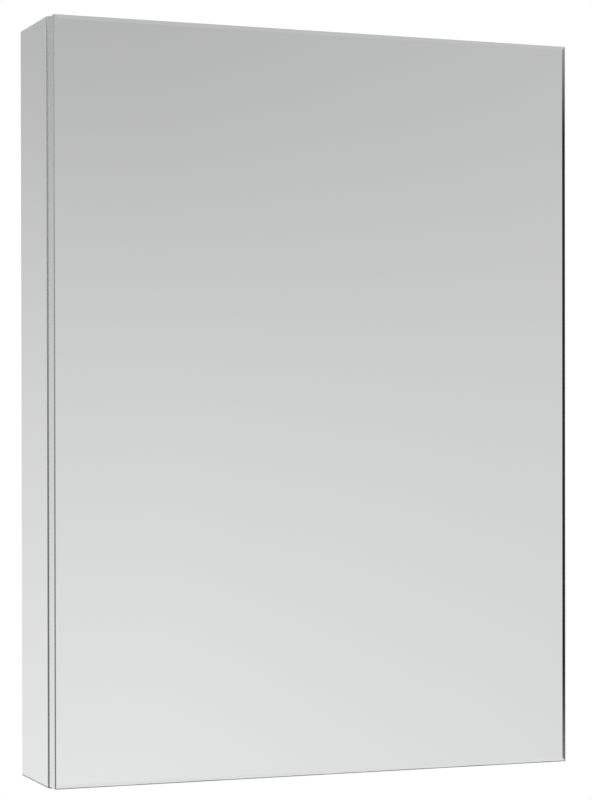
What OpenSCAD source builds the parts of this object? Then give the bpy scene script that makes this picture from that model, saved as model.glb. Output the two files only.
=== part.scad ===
// Wall-hung mirror cabinet with one mirrored door on a continuous hinge.
// Millimetres. +Z is up, the door faces -Y and the wall is the plane y = 0.
// The origin is the middle of the four wall screws, on the wall.

/* [Case] */
// Width of the case over its two side mirrors
case_w = 550; // [450:5:650]
// Height of the case
case_h = 750; // [650:5:850]
// Depth of the case from the wall to its front edge, without the door
case_d = 97; // [92:1:140]
// Thickness of the side, top and bottom boards
panel_t = 16; // [15:0.5:19]
// Thickness of the mirror pane on each side
side_mirror_t = 3; // [3:0.5:5]
// How far each side mirror stays back from the board's outline
side_mirror_inset = 0.6; // [0.4:0.1:2]
// Thickness of the back panel
back_panel_t = 4; // [3:0.5:6]
// Free depth between the wall and the back panel
back_recess = 12; // [10:0.5:16]
// Depth of the groove that holds the back panel
groove_depth = 5; // [4:0.5:6]

/* [Case joints] */
// Diameter of the wooden dowels
dowel_d = 8; // [6:1:9]
// Length of a dowel
dowel_len = 30; // [26:1:34]
// How much of a dowel sits in the side board
dowel_in_side = 11; // [8:0.5:12]
// Distance from the front edge to the front dowels
dowel_front = 18; // [14:1:22]
// Distance from the wall to the rear dowels
dowel_rear = 28; // [26:1:32]
// Diameter of a cam disc
cam_d = 15; // [14:0.5:18]
// Height of a cam disc
cam_h = 11; // [10:0.5:11.5]
// Thickness of the cap over a cam disc
cam_cap_t = 1.2; // [0.8:0.1:2]
// Distance from the side board to the middle of a cam disc
cam_reach = 24; // [20:1:30]
// Diameter of the threaded end of a cam bolt
cam_bolt_d = 6; // [5:0.5:7]
// Length of the threaded end of a cam bolt
cam_bolt_thread = 11; // [8:0.5:12]

/* [Door] */
// How far the door stays inside the case at each side
door_side_reveal = 0.2; // [0:0.1:2]
// How far the door stays inside the case at top and bottom
door_end_reveal = 3; // [2:0.5:6]
// Thickness of the door board
door_board_t = 18; // [15:0.5:22]
// Wall of the profile round the door's edge
edge_profile_t = 1.5; // [1:0.1:2.5]
// Chamfer on the profile's back corner
edge_profile_chamfer = 0.5; // [0.3:0.1:0.8]
// Thickness of the adhesive tape behind the mirror
tape_t = 1; // [0.8:0.1:2]
// Width of an adhesive tape strip
tape_w = 25; // [12:1:40]
// Number of adhesive tape strips
tape_count = 5; // [3:1:7]
// Thickness of the door mirror
mirror_t = 4; // [3:0.5:6]
// Width of the bevel round the door mirror
mirror_bevel_w = 4; // [1:0.5:12]
// Depth of the bevel at the mirror's edge
mirror_bevel_d = 1; // [0.4:0.1:2]
// Ground edge on the other panes
arris = 0.5; // [0.3:0.1:0.8]

/* [Hinge] */
// Diameter of the hinge pin
hinge_pin_d = 2.5; // [2:0.1:4]
// Radial play of the pin in the barrel
hinge_pin_play = 0.05; // [0.02:0.01:0.1]
// Thickness of a hinge leaf
hinge_leaf_t = 1.3; // [1:0.1:2]
// Width of a leaf from the pin's axis
hinge_leaf_w = 18; // [16:0.5:19]
// Distance from the door's edge to the pin's axis
hinge_axis_out = 1.2; // [1.2:0.1:2.5]
// Length left free at each end of the hinge
hinge_end = 3; // [2.5:0.5:20]
// Length of one knuckle
knuckle_len = 20; // [15:1:40]
// Gap between two knuckles
knuckle_gap = 0.3; // [0.3:0.1:1]
// Distance between the screws of a leaf
leaf_screw_pitch = 88; // [60:1:120]
// Diameter of the leaf screws
leaf_screw_d = 3; // [2.5:0.1:3.5]
// Length of the leaf screws
leaf_screw_len = 14; // [10:1:15]

/* [Push latch] */
// Height of the latch above the middle of the case
latch_up = 80; // [40:1:120]
// Width of the latch housing
latch_w = 13; // [12:0.5:16]
// Height of the latch housing
latch_h = 14; // [12:0.5:16]
// Diameter of the plunger
plunger_d = 8; // [6:0.5:9]
// Length of the plunger
plunger_len = 36; // [30:1:42]
// How far the plunger can be pushed in
plunger_travel = 3; // [1:0.5:4]
// Diameter of the magnet in the plunger's tip
magnet_d = 5; // [3:0.5:5]
// Length of the magnet
magnet_len = 4; // [3:0.5:8]
// Diameter of the strike plate on the door
strike_d = 16; // [10:1:20]
// Thickness of the strike plate
strike_t = 1.2; // [0.8:0.1:2]
// Wire of the latch spring
spring_wire = 0.8; // [0.5:0.1:1]
// Turns of the latch spring
spring_turns = 5; // [4:1:6]
// Diameter of a bumper pad
bumper_d = 9; // [6:0.5:12]
// Distance of the bumper pads from the case's ends
bumper_end = 30; // [20:1:60]

/* [Shelves] */
// Thickness of a glass shelf
shelf_t = 6; // [5:0.5:8]
// Side play of a shelf
shelf_play = 1.5; // [1:0.5:3]
// Distance from the case's front edge to a shelf
shelf_setback = 10; // [8:1:20]
// Gap between a shelf and the back panel
shelf_back_gap = 2; // [1:0.5:4]
// Distance between two support holes
hole_pitch = 32; // [30:1:34]
// Holes above and below the middle one in each row
hole_count = 6; // [6:1:8]
// Number of holes from the middle shelf to the next shelf
shelf_step_count = 5; // [4:1:6]
// Diameter of a shelf support's pin
support_d = 5; // [4:0.5:6]
// Depth of a support hole
support_hole_depth = 10; // [8:0.5:12]
// Reach of a shelf support under the shelf
support_reach = 8; // [6:0.5:10]
// Distance from the front edge to the front support holes
support_front = 28; // [22:1:32]
// Distance from the back panel to the rear support holes
support_rear = 16; // [12:1:20]

/* [Wall fixing] */
// Height from the wall screws to the top of the case
screw_drop = 62; // [60:1:90]
// Height between the two screws of a wall plate
wall_screw_rise = 20; // [16:1:22]
// Diameter of a wall screw hole
wall_hole_d = 5.5; // [4.5:0.1:6.5]
// Width of a wall plate
plate_w = 48; // [44:1:70]
// Thickness of a wall plate
plate_t = 2; // [1.5:0.1:2.5]
// Gap between the wall and the lip of a wall plate
lip_gap = 5; // [4.5:0.1:5.5]
// Gap between a wall plate and the side board
plate_side_gap = 1; // [0.5:0.5:2]
// Thickness of a hanger hook
hook_t = 3; // [2.5:0.1:4]
// Width of a hanger housing
hanger_w = 16; // [15:0.5:20]
// Length of a hanger housing
hanger_len = 54; // [50:1:56]
// Height of a hanger housing above the lip of the wall plate
hanger_head = 12; // [11:0.5:14]
// Height of a hanger housing below the lip of the wall plate
hanger_foot = 28; // [26:1:32]
// Gap between a hanger housing and the top board
hanger_drop = 4; // [2:0.5:6]
// Diameter of the hanger's adjusting screws
hanger_screw_d = 6; // [5:0.5:6.5]
// Diameter of the pegs that hold a hanger in the side board
peg_d = 10; // [8:0.5:10]
// Length of these pegs
peg_len = 10; // [8:0.5:12]
// Wall of the cover over a hanger
cover_t = 1.2; // [1:0.1:2]

/* [Hidden] */

$fn = 48;
eps = 0.01;

// Clearances
glue_clear = 0.05;   // dowels, pegs and screws in their holes, each side
seat_clear = 0.3;    // pieces that only stand next to each other
slide_clear = 0.1;   // plunger in its housing, each side
hook_clear = 0.4;    // hook in its housing, each side

// Planes of the case
x_out = case_w / 2;
x_board = x_out - side_mirror_t;
x_in = x_board - panel_t;
y_front = -case_d;
y_back = -back_recess - back_panel_t;
z_top = screw_drop;
z_bottom = z_top - case_h;
z_mid = (z_top + z_bottom) / 2;
z_head = z_top - panel_t;
z_floor = z_bottom + panel_t;

// Hinge and door planes. The leaves lie flat on case and door, so the barrel sets the gap.
barrel_d = hinge_pin_d + 2 * hinge_pin_play + 2 * hinge_leaf_t;
barrel_sink = 0.1;
leaf_seat = barrel_d / 2 - barrel_sink;
door_gap = 2 * leaf_seat;
door_x = x_out - door_side_reveal;
door_z_top = z_top - door_end_reveal;
door_z_bottom = z_bottom + door_end_reveal;
door_h = door_z_top - door_z_bottom;
y_door = y_front - door_gap;
y_tape = y_door - door_board_t;
y_glass = y_tape - tape_t;
y_face = y_glass - mirror_t;
axis_x = door_x + hinge_axis_out;
axis_y = y_front - leaf_seat;
hinge_z = door_z_bottom + hinge_end;
hinge_len = door_h - 2 * hinge_end;
knuckle_n = 2 * floor(hinge_len / knuckle_len / 2) + 1;
knuckle_step = hinge_len / knuckle_n;
pin_head_h = 1.2;
leaf_screw_x = x_board - panel_t / 2;
leaf_screw_head_h = 0.9;
leaf_screw_n = floor((hinge_len - 2 * leaf_screw_d) / leaf_screw_pitch);

// Corner fittings. The bolt runs in the middle of the board's thickness.
cam_y = -case_d / 2;
cam_pocket = cam_h + cam_cap_t + seat_clear;
cam_recess_w = 1.2;
cam_recess_h = 2;
bolt_step = 1;
bolt_shank_d = cam_bolt_d - bolt_step;
bolt_head_d = cam_bolt_d + bolt_step;

// Push latch
latch_x = -x_in + latch_w / 2;
latch_z = z_mid + latch_up;
latch_setback = 0.8;
latch_y = y_front + latch_setback;
latch_wall = 4;
ear_t = 3;
ear_h = 9;
ear_len = 10;
ear_back = 6;
latch_screw_d = 3;
latch_screw_len = 12;
strike_y = y_door + strike_t;
tip_y = strike_y + seat_clear;
plunger_end_y = tip_y + plunger_len;
spring_solid = spring_wire * (spring_turns + 1);
spring_spare = 4;
bore_end_y = plunger_end_y + plunger_travel + spring_solid + spring_spare;
latch_len = bore_end_y + latch_wall - latch_y;

// Shelves
support_spoon_t = 3.5;
support_spoon_w = 8;
support_collar_d = support_d + 3;
support_collar_t = shelf_play - seat_clear;
support_up = support_d / 2;
support_y = [y_front + support_front, y_back - support_rear];
shelf_levels = [-shelf_step_count, 0, shelf_step_count];

// Wall plates
plate_x = x_in - plate_side_gap - plate_w / 2;
plate_margin = 8;
plate_foot = wall_screw_rise / 2 + plate_margin;
plate_bend_gap = 4;
plate_bend_z = wall_screw_rise / 2 + plate_bend_gap;

// Hangers. The hooks rest on the lips of the wall plates.
seat_z = z_head - hanger_drop - hanger_head;
hook_x = x_in - hanger_w / 2;
hanger_y = y_back - seat_clear;
hanger_front_y = hanger_y - hanger_len;
tip_wall_gap = 1.2;
hook_tip_t = lip_gap - tip_wall_gap - seat_clear;
tip_bend_gap = 1;
hook_tip_h = seat_z - plate_bend_z - lip_gap - tip_bend_gap;
hook_lead = 2;
hook_bar_h = 8;
hook_foot_h = 13;
hook_foot_back = 6;
hook_block = 10;
hook_front_wall = 4;
hook_travel = 3;
hook_front_y = hanger_front_y + hook_front_wall + hook_travel;
reach_rise = 2;
reach_z = seat_z + reach_rise;
reach_overrun = 4;
window_play = 4;
height_screw_back = 32;
height_y = hanger_front_y + height_screw_back;
height_socket = 3;
peg_from_front = 12;
peg_from_back = 10;
peg_drop = 8;
peg_places = [hanger_front_y + peg_from_front, hanger_y - peg_from_back];
peg_z = seat_z - peg_drop;
screw_head_d = hanger_screw_d + 3;
screw_head_h = 3;
cover_front = screw_head_h + 2;

// A screw along -Y with its head's seat at the origin: the shank runs to +Y
module screw(d, len, head_d, head_h) {
    rotate([-90, 0, 0]) cylinder(h = len, d = d);
    difference() {
        rotate([90, 0, 0]) cylinder(h = head_h, d = head_d);
        for (turn = [0, 90])
            translate([0, -head_h, 0]) rotate([0, turn, 0])
                cube([head_d * 0.6, head_h, head_d * 0.12], center = true);
    }
}

// Both sides of the cabinet from one, drawn on the right
module both_sides() {
    children();
    mirror([1, 0, 0]) children();
}

// Wedge that takes a bevel off an edge along Z at the origin: the face looks to -Y, the edge to +X
module edge_wedge(bevel_w, bevel_d, len) {
    out = 1;
    rise = bevel_d / bevel_w;
    linear_extrude(len + 2 * out, center = true)
        polygon([[-bevel_w, 0], [out, bevel_d + out * rise], [out, -out], [-bevel_w, -out]]);
}

// Four wedges round a face of w by h in the XZ plane
module face_bevel(w, h, bevel_w, bevel_d) {
    for (turn = [0 : 3]) {
        half = turn % 2 == 0 ? w / 2 : h / 2;
        len = turn % 2 == 0 ? h : w;
        rotate([0, turn * 90, 0]) translate([half, 0, 0]) edge_wedge(bevel_w, bevel_d, len);
    }
}

// A pane standing in the XZ plane: its face looks to -Y at y = 0, its back is at y = t
module pane(w, h, t, bevel_w, bevel_d) {
    difference() {
        translate([-w / 2, 0, -h / 2]) cube([w, t, h]);
        face_bevel(w, h, bevel_w, bevel_d);
        translate([0, t, 0]) mirror([0, 1, 0]) face_bevel(w, h, arris, arris);
    }
}

module rod_x(d, len) {
    rotate([0, 90, 0]) cylinder(h = len, d = d);
}

module rod_y(d, len) {
    rotate([-90, 0, 0]) cylinder(h = len, d = d);
}

// Places of the corner fittings in one end of an end board, seen from its middle plane
module at_dowels() {
    for (y = [y_front + dowel_front, -dowel_rear])
        translate([0, y, 0]) children();
}

module at_ends() {
    for (z = [z_top - panel_t / 2, z_bottom + panel_t / 2])
        translate([0, 0, z]) children();
}

module at_support_rows() {
    for (y = support_y)
        translate([x_in, y, z_mid]) children();
}

module groove_box() {
    grow = glue_clear;
    translate([-x_in - groove_depth, y_back - grow, z_floor - groove_depth])
        cube([2 * (x_in + groove_depth), back_panel_t + 2 * grow, z_head - z_floor + 2 * groove_depth]);
}

// The right side board with every hole that both sides have
module side_panel() {
    difference() {
        translate([x_in, y_front, z_bottom]) cube([panel_t, case_d, case_h]);
        groove_box();
        at_ends() {
            at_dowels() translate([x_in - eps, 0, 0])
                rod_x(dowel_d + 2 * glue_clear, dowel_in_side + seat_clear + eps);
            translate([x_in - eps, cam_y, 0])
                rod_x(cam_bolt_d + 2 * glue_clear, cam_bolt_thread + seat_clear + eps);
        }
        at_support_rows()
            for (k = [-hole_count : hole_count])
                translate([-eps, 0, k * hole_pitch])
                    rod_x(support_d + 2 * glue_clear, support_hole_depth + eps);
        for (y = peg_places)
            translate([x_in - eps, y, peg_z]) rod_x(peg_d + 2 * glue_clear, peg_len + seat_clear + eps);
    }
}

module left_side_panel() {
    color("gainsboro") difference() {
        mirror([1, 0, 0]) side_panel();
        at_latch_screws()
            translate([eps - latch_screw_len, 0, 0]) rod_x(latch_screw_d + 2 * glue_clear, latch_screw_len);
    }
}

module right_side_panel() {
    color("gainsboro") difference() {
        side_panel();
        at_leaf_screws() translate([0, y_front - eps, 0])
            rod_y(leaf_screw_d + 2 * glue_clear, leaf_screw_len + eps);
    }
}

// The top board. The bottom board is its mirror image.
module end_panel() {
    difference() {
        translate([-x_in, y_front, z_head]) cube([2 * x_in, case_d, panel_t]);
        groove_box();
        both_sides() {
            translate([0, 0, z_top - panel_t / 2]) {
                at_dowels() translate([x_in - dowel_len + dowel_in_side - seat_clear, 0, 0])
                    rod_x(dowel_d + 2 * glue_clear, dowel_len);
                translate([x_in - cam_reach, cam_y, 0])
                    rod_x(bolt_head_d + 2 * seat_clear, cam_reach + eps);
            }
            translate([x_in - cam_reach, cam_y, z_top - cam_pocket])
                cylinder(h = cam_pocket + eps, d = cam_d + 2 * glue_clear);
        }
    }
}

module flip_ends() {
    translate([0, 0, z_mid]) mirror([0, 0, 1]) translate([0, 0, -z_mid]) children();
}

module top_panel() {
    color("gainsboro") end_panel();
}

module bottom_panel() {
    color("gainsboro") flip_ends() end_panel();
}

module back_panel() {
    reach = groove_depth - seat_clear;
    color("whitesmoke") difference() {
        translate([-x_in - reach, y_back, z_floor - reach])
            cube([2 * (x_in + reach), back_panel_t, z_head - z_floor + 2 * reach]);
        both_sides() translate([hook_x - hook_t / 2 - window_play, y_back - eps, seat_z - window_play])
            cube([hook_t + 2 * window_play, back_panel_t + 2 * eps, hook_bar_h + 2 * window_play]);
    }
}

module side_mirror() {
    w = case_d - 2 * side_mirror_inset;
    h = case_h - 2 * side_mirror_inset;
    translate([x_out, -case_d / 2, z_mid]) rotate([0, 0, 90]) pane(w, h, side_mirror_t, arris, arris);
}

module left_side_mirror() {
    color("silver") mirror([1, 0, 0]) side_mirror();
}

module right_side_mirror() {
    color("silver") side_mirror();
}

module corner_dowels() {
    color("burlywood") both_sides() at_ends() at_dowels()
        translate([x_in + dowel_in_side - dowel_len, 0, 0]) rod_x(dowel_d, dowel_len);
}

module cam_bolts() {
    head_x = x_in - cam_reach;
    color("lightslategray") both_sides() at_ends() translate([0, cam_y, 0]) {
        translate([x_in, 0, 0]) rod_x(cam_bolt_d, cam_bolt_thread);
        translate([head_x, 0, 0]) rod_x(bolt_shank_d, cam_reach + eps);
        translate([head_x, 0, 0]) rod_x(bolt_head_d, bolt_head_d / 2);
    }
}

// A cam lies in its pocket with the bolt's head in its slot
module cam_disc() {
    z_low = z_top - cam_pocket;
    slot = bolt_head_d + 2 * seat_clear;
    translate([x_in - cam_reach, cam_y, z_low]) difference() {
        cylinder(h = cam_h, d = cam_d);
        translate([-seat_clear, -slot / 2, z_top - panel_t / 2 - z_low - slot / 2])
            cube([cam_d, slot, slot]);
        for (turn = [0, 90])
            translate([0, 0, cam_h]) rotate([0, 0, turn])
                cube([cam_d / 2, cam_recess_w, cam_recess_h], center = true);
    }
}

module cam_discs() {
    color("darkgray") both_sides() {
        cam_disc();
        flip_ends() cam_disc();
    }
}

module cam_caps() {
    color("white") both_sides() for (low = [false, true]) {
        at = [x_in - cam_reach, cam_y, low ? z_bottom : z_top - cam_cap_t];
        translate(at) cylinder(h = cam_cap_t, d = cam_d);
    }
}

// A glass shelf that lies on the supports of its level
module shelf(level) {
    w = 2 * (x_in - shelf_play);
    d = y_back - shelf_back_gap - y_front - shelf_setback;
    z = z_mid + level * hole_pitch + support_up;
    y_middle = y_front + shelf_setback + d / 2;
    translate([0, y_middle, z + shelf_t]) rotate([-90, 0, 0])
        pane(w, d, shelf_t, arris, arris);
}

module upper_shelf() {
    color("lightcyan") shelf(shelf_levels[2]);
}

module middle_shelf() {
    color("lightcyan") shelf(shelf_levels[1]);
}

module lower_shelf() {
    color("lightcyan") shelf(shelf_levels[0]);
}

module shelf_support() {
    hold = support_hole_depth - 2 * seat_clear;
    rod_x(support_d, hold);
    translate([-support_collar_t, 0, 0]) rod_x(support_collar_d, support_collar_t);
    translate([-support_reach, -support_spoon_w / 2, support_up - support_spoon_t])
        cube([support_reach, support_spoon_w, support_spoon_t]);
}

module shelf_supports() {
    color("silver") both_sides() at_support_rows()
        for (level = shelf_levels)
            translate([0, 0, level * hole_pitch]) shelf_support();
}

// Side outline of a hook, from its tip behind the lip to its foot in the housing
module hook_outline() {
    tip_y = -tip_wall_gap;
    inner_y = tip_y - hook_tip_t;
    foot_y = hanger_y - hook_foot_back;
    tip_z = seat_z - hook_tip_h;
    bar_z = seat_z + hook_bar_h;
    foot_z = seat_z - hook_foot_h;
    polygon([
        [tip_y, tip_z + hook_lead], [tip_y, bar_z], [hook_front_y, bar_z], [hook_front_y, foot_z],
        [foot_y, foot_z], [foot_y, seat_z], [inner_y, seat_z], [inner_y, tip_z], [tip_y - hook_lead, tip_z]
    ]);
}

// Turns an outline drawn in Y and Z into a plate of thickness t in the middle of x
module plate_yz(x, t) {
    translate([x - t / 2, 0, 0]) rotate([90, 0, 90]) linear_extrude(t) children();
}

module hanger_hook() {
    difference() {
        union() {
            plate_yz(hook_x, hook_t) hook_outline();
            translate([hook_x - hook_block / 2, hook_front_y, reach_z - hook_block / 2])
                cube([hook_block, hook_block, hook_block]);
        }
        translate([hook_x, hook_front_y - eps, reach_z])
            rod_y(hanger_screw_d + 2 * glue_clear, 2 * hook_block);
    }
}

module hanger_housing() {
    slot_w = hook_t + 2 * hook_clear;
    pocket_w = hook_block + 2 * hook_clear;
    slot_z = seat_z - hook_foot_h - hook_clear;
    pocket_z = reach_z - hook_block / 2 - hook_clear;
    inner_y = hook_front_y - hook_travel;
    difference() {
        union() {
            translate([x_in - hanger_w, hanger_front_y, seat_z - hanger_foot])
                cube([hanger_w, hanger_len, hanger_foot + hanger_head]);
            for (y = peg_places)
                translate([x_in - eps, y, peg_z]) rod_x(peg_d, peg_len + eps);
        }
        translate([hook_x - slot_w / 2, inner_y, slot_z])
            cube([slot_w, hanger_len, hook_foot_h + hook_bar_h + 2 * hook_clear]);
        translate([hook_x - pocket_w / 2, inner_y, pocket_z])
            cube([pocket_w, hook_block + 2 * hook_travel, hook_block + 2 * hook_clear]);
        translate([hook_x, hanger_front_y - eps, reach_z])
            rod_y(hanger_screw_d + 2 * glue_clear, hanger_len);
        translate([hook_x, height_y, seat_z - hanger_foot - eps])
            cylinder(h = hanger_foot, d = hanger_screw_d + 2 * glue_clear);
    }
}

module hanger_cover() {
    gap = seat_clear;
    w = hanger_w + gap;
    len = hanger_len + cover_front;
    z_low = seat_z - hanger_foot;
    h = hanger_foot + hanger_head + gap;
    front_y = hanger_y - len;
    difference() {
        translate([x_in - w - cover_t, front_y - cover_t, z_low])
            cube([w + cover_t, len + cover_t, h + cover_t]);
        translate([x_in - w, front_y, z_low - eps]) cube([w + eps, len + eps, h + eps]);
    }
}

module left_hanger_housing() {
    color("lightgray") mirror([1, 0, 0]) hanger_housing();
}

module right_hanger_housing() {
    color("lightgray") hanger_housing();
}

module left_hanger_hook() {
    color("lightslategray") mirror([1, 0, 0]) hanger_hook();
}

module right_hanger_hook() {
    color("lightslategray") hanger_hook();
}

module hanger_reach_screws() {
    len = hook_front_y + hook_block + reach_overrun - hanger_front_y;
    color("lightslategray") both_sides() translate([hook_x, hanger_front_y, reach_z])
        screw(hanger_screw_d, len, screw_head_d, screw_head_h);
}

module hanger_height_screws() {
    top_z = seat_z - hook_foot_h - glue_clear;
    low_z = seat_z - hanger_foot;
    socket_d = hanger_screw_d / 2;
    color("lightslategray") both_sides() translate([hook_x, height_y, low_z]) difference() {
        cylinder(h = top_z - low_z, d = hanger_screw_d);
        translate([0, 0, -eps]) cylinder(h = height_socket, d = socket_d, $fn = 6);
    }
}

module left_hanger_cover() {
    color("white") mirror([1, 0, 0]) hanger_cover();
}

module right_hanger_cover() {
    color("white") hanger_cover();
}

// A wall plate: flat on the wall at its foot, with its lip stepped out from the wall
module wall_plate() {
    bend = plate_bend_z;
    step = lip_gap;
    slant = plate_t * tan(22.5);
    difference() {
        plate_yz(plate_x, plate_w) polygon([
            [0, -plate_foot], [0, bend], [-step, bend + step], [-step, seat_z],
            [-step - plate_t, seat_z], [-step - plate_t, bend + step - slant], [-plate_t, bend - slant],
            [-plate_t, -plate_foot]
        ]);
        for (z = [-wall_screw_rise / 2, wall_screw_rise / 2])
            translate([plate_x, -plate_t - eps, z]) rod_y(wall_hole_d, plate_t + 2 * eps);
    }
}

module left_wall_plate() {
    color("lightslategray") mirror([1, 0, 0]) wall_plate();
}

module right_wall_plate() {
    color("lightslategray") wall_plate();
}

module at_leaf_screws() {
    first = hinge_z + (hinge_len - (leaf_screw_n - 1) * leaf_screw_pitch) / 2;
    for (k = [0 : leaf_screw_n - 1])
        translate([leaf_screw_x, 0, first + k * leaf_screw_pitch]) children();
}

// One leaf at the pin's axis, flat side towards +Y, with the knuckles that it owns
module hinge_leaf(first) {
    clear = knuckle_gap / 2;
    strip_x = -barrel_d / 2 - knuckle_gap;
    difference() {
        union() {
            translate([-hinge_leaf_w, leaf_seat - hinge_leaf_t, 0])
                cube([hinge_leaf_w + strip_x, hinge_leaf_t, hinge_len]);
            for (k = [first : 2 : knuckle_n - 1])
                translate([0, 0, k * knuckle_step + clear]) {
                    cylinder(h = knuckle_step - 2 * clear, d = barrel_d);
                    translate([strip_x - eps, leaf_seat - hinge_leaf_t, 0])
                        cube([eps - strip_x, hinge_leaf_t, knuckle_step - 2 * clear]);
                }
        }
        translate([0, 0, -eps]) cylinder(h = hinge_len + 2 * eps, d = hinge_pin_d + 2 * hinge_pin_play);
    }
}

module case_hinge_leaf() {
    color("silver") difference() {
        translate([axis_x, axis_y, hinge_z]) hinge_leaf(0);
        at_leaf_screws() translate([0, y_front - hinge_leaf_t - eps, 0])
            rod_y(leaf_screw_d + 2 * glue_clear, hinge_leaf_t + 2 * eps);
    }
}

module door_hinge_leaf() {
    color("silver") difference() {
        translate([axis_x, axis_y, hinge_z]) mirror([0, 1, 0]) hinge_leaf(1);
        at_leaf_screws() translate([0, y_door - eps, 0])
            rod_y(leaf_screw_d + 2 * glue_clear, hinge_leaf_t + 2 * eps);
    }
}

module hinge_pin() {
    head_d = (hinge_pin_d + barrel_d) / 2;
    color("dimgray") translate([axis_x, axis_y, hinge_z]) {
        cylinder(h = hinge_len, d = hinge_pin_d);
        translate([0, 0, -pin_head_h]) cylinder(h = pin_head_h, d = head_d);
        translate([0, 0, hinge_len]) cylinder(h = pin_head_h, d = head_d);
    }
}

module case_leaf_screws() {
    len = leaf_screw_len + hinge_leaf_t - seat_clear;
    color("silver") at_leaf_screws() translate([0, y_front - hinge_leaf_t, 0])
        screw(leaf_screw_d, len, 2 * leaf_screw_d, leaf_screw_head_h);
}

module door_leaf_screws() {
    len = leaf_screw_len + hinge_leaf_t - seat_clear;
    color("silver") at_leaf_screws() translate([0, y_door + hinge_leaf_t, 0]) mirror([0, 1, 0])
        screw(leaf_screw_d, len, 2 * leaf_screw_d, leaf_screw_head_h);
}

module door_board() {
    w = 2 * (door_x - edge_profile_t);
    h = door_h - 2 * edge_profile_t;
    color("white") difference() {
        translate([-w / 2, y_tape, z_mid - h / 2]) cube([w, door_board_t, h]);
        at_leaf_screws() translate([0, y_door - leaf_screw_len, 0])
            rod_y(leaf_screw_d + 2 * glue_clear, leaf_screw_len + eps);
    }
}

module door_edge_profile() {
    w = 2 * door_x;
    t = door_board_t + tape_t;
    color("lightsteelblue") difference() {
        translate([-w / 2, y_glass, z_mid - door_h / 2]) cube([w, t, door_h]);
        translate([-w / 2 + edge_profile_t, y_glass - eps, z_mid - door_h / 2 + edge_profile_t])
            cube([w - 2 * edge_profile_t, t + 2 * eps, door_h - 2 * edge_profile_t]);
        translate([0, y_door, z_mid]) mirror([0, 1, 0])
            face_bevel(w, door_h, edge_profile_chamfer, edge_profile_chamfer);
    }
}

module mirror_tape() {
    inset = 20;
    h = door_h - 2 * inset;
    step = (2 * door_x - 2 * inset - tape_w) / (tape_count - 1);
    color("dimgray") for (k = [0 : tape_count - 1])
        translate([-door_x + inset + k * step, y_glass, z_mid - h / 2]) cube([tape_w, tape_t, h]);
}

module door_mirror() {
    color("silver") translate([0, y_face, z_mid])
        pane(2 * door_x, door_h, mirror_t, mirror_bevel_w, mirror_bevel_d);
}

module strike_plate() {
    color("silver") translate([latch_x, y_door, latch_z]) rod_y(strike_d, strike_t);
}

// Soft pads that the door closes against
module bumper_pads() {
    h = door_gap - seat_clear;
    r = bumper_d / 2;
    round_h = h / 3;
    color("whitesmoke") for (z = [z_top - bumper_end, z_bottom + bumper_end])
        translate([-leaf_screw_x, y_front, z]) rotate([90, 0, 0])
            rotate_extrude() polygon([[0, 0], [r, 0], [r, h - round_h], [r - round_h, h], [0, h]]);
}

module at_latch_screws() {
    y = latch_y + ear_back + ear_len / 2;
    for (side = [-1, 1])
        translate([-x_in, y, latch_z + side * (latch_h + ear_h) / 2]) children();
}

module latch_housing() {
    ear_z = latch_z - latch_h / 2 - ear_h;
    color("gainsboro") difference() {
        union() {
            translate([-x_in, latch_y, latch_z - latch_h / 2]) cube([latch_w, latch_len, latch_h]);
            translate([-x_in, latch_y + ear_back, ear_z]) cube([ear_t, ear_len, latch_h + 2 * ear_h]);
        }
        translate([latch_x, latch_y - eps, latch_z])
            rod_y(plunger_d + 2 * slide_clear, latch_len - latch_wall + eps);
        at_latch_screws() translate([-eps, 0, 0])
            rod_x(latch_screw_d + 2 * glue_clear, ear_t + 2 * eps);
    }
}

module latch_plunger() {
    color("white") translate([latch_x, tip_y, latch_z]) difference() {
        rod_y(plunger_d, plunger_len);
        translate([0, -eps, 0]) rod_y(magnet_d + 2 * glue_clear, magnet_len + eps);
    }
}

module latch_magnet() {
    color("dimgray") translate([latch_x, tip_y, latch_z]) rod_y(magnet_d, magnet_len);
}

// Rings of a coil along +Y: each ring is a small polygon across the wire
function coil_ring(turn_at, r, wire, pitch, sides) = [
    for (s = [0 : sides - 1])
        let (a = 360 * turn_at, b = 360 * s / sides, rr = r + wire / 2 * cos(b))
        [rr * cos(a), pitch * turn_at + wire / 2 * sin(b), rr * sin(a)]
];

module latch_spring() {
    sides = 6;
    per_turn = 12;
    rings = spring_turns * per_turn;
    room = bore_end_y - plunger_end_y;
    r = plunger_d / 2 - spring_wire;
    pitch = (room - spring_wire - 2 * slide_clear) / spring_turns;
    points = [for (k = [0 : rings]) each coil_ring(k / per_turn, r, spring_wire, pitch, sides)];
    first_cap = [for (s = [0 : sides - 1]) s];
    last_cap = [for (s = [sides - 1 : -1 : 0]) rings * sides + s];
    skin = [
        for (k = [0 : rings - 1]) for (s = [0 : sides - 1])
            let (a = k * sides + s, b = k * sides + (s + 1) % sides)
            each [[a, a + sides, b + sides], [a, b + sides, b]]
    ];
    color("gray") translate([latch_x, plunger_end_y + slide_clear + spring_wire / 2, latch_z])
        polyhedron(points, concat([first_cap], [last_cap], skin));
}

module latch_screws() {
    head_d = 5.5;
    head_h = 1.8;
    color("silver") at_latch_screws() translate([ear_t, 0, 0]) rotate([0, 0, 90])
        screw(latch_screw_d, latch_screw_len + ear_t - seat_clear, head_d, head_h);
}

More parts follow.
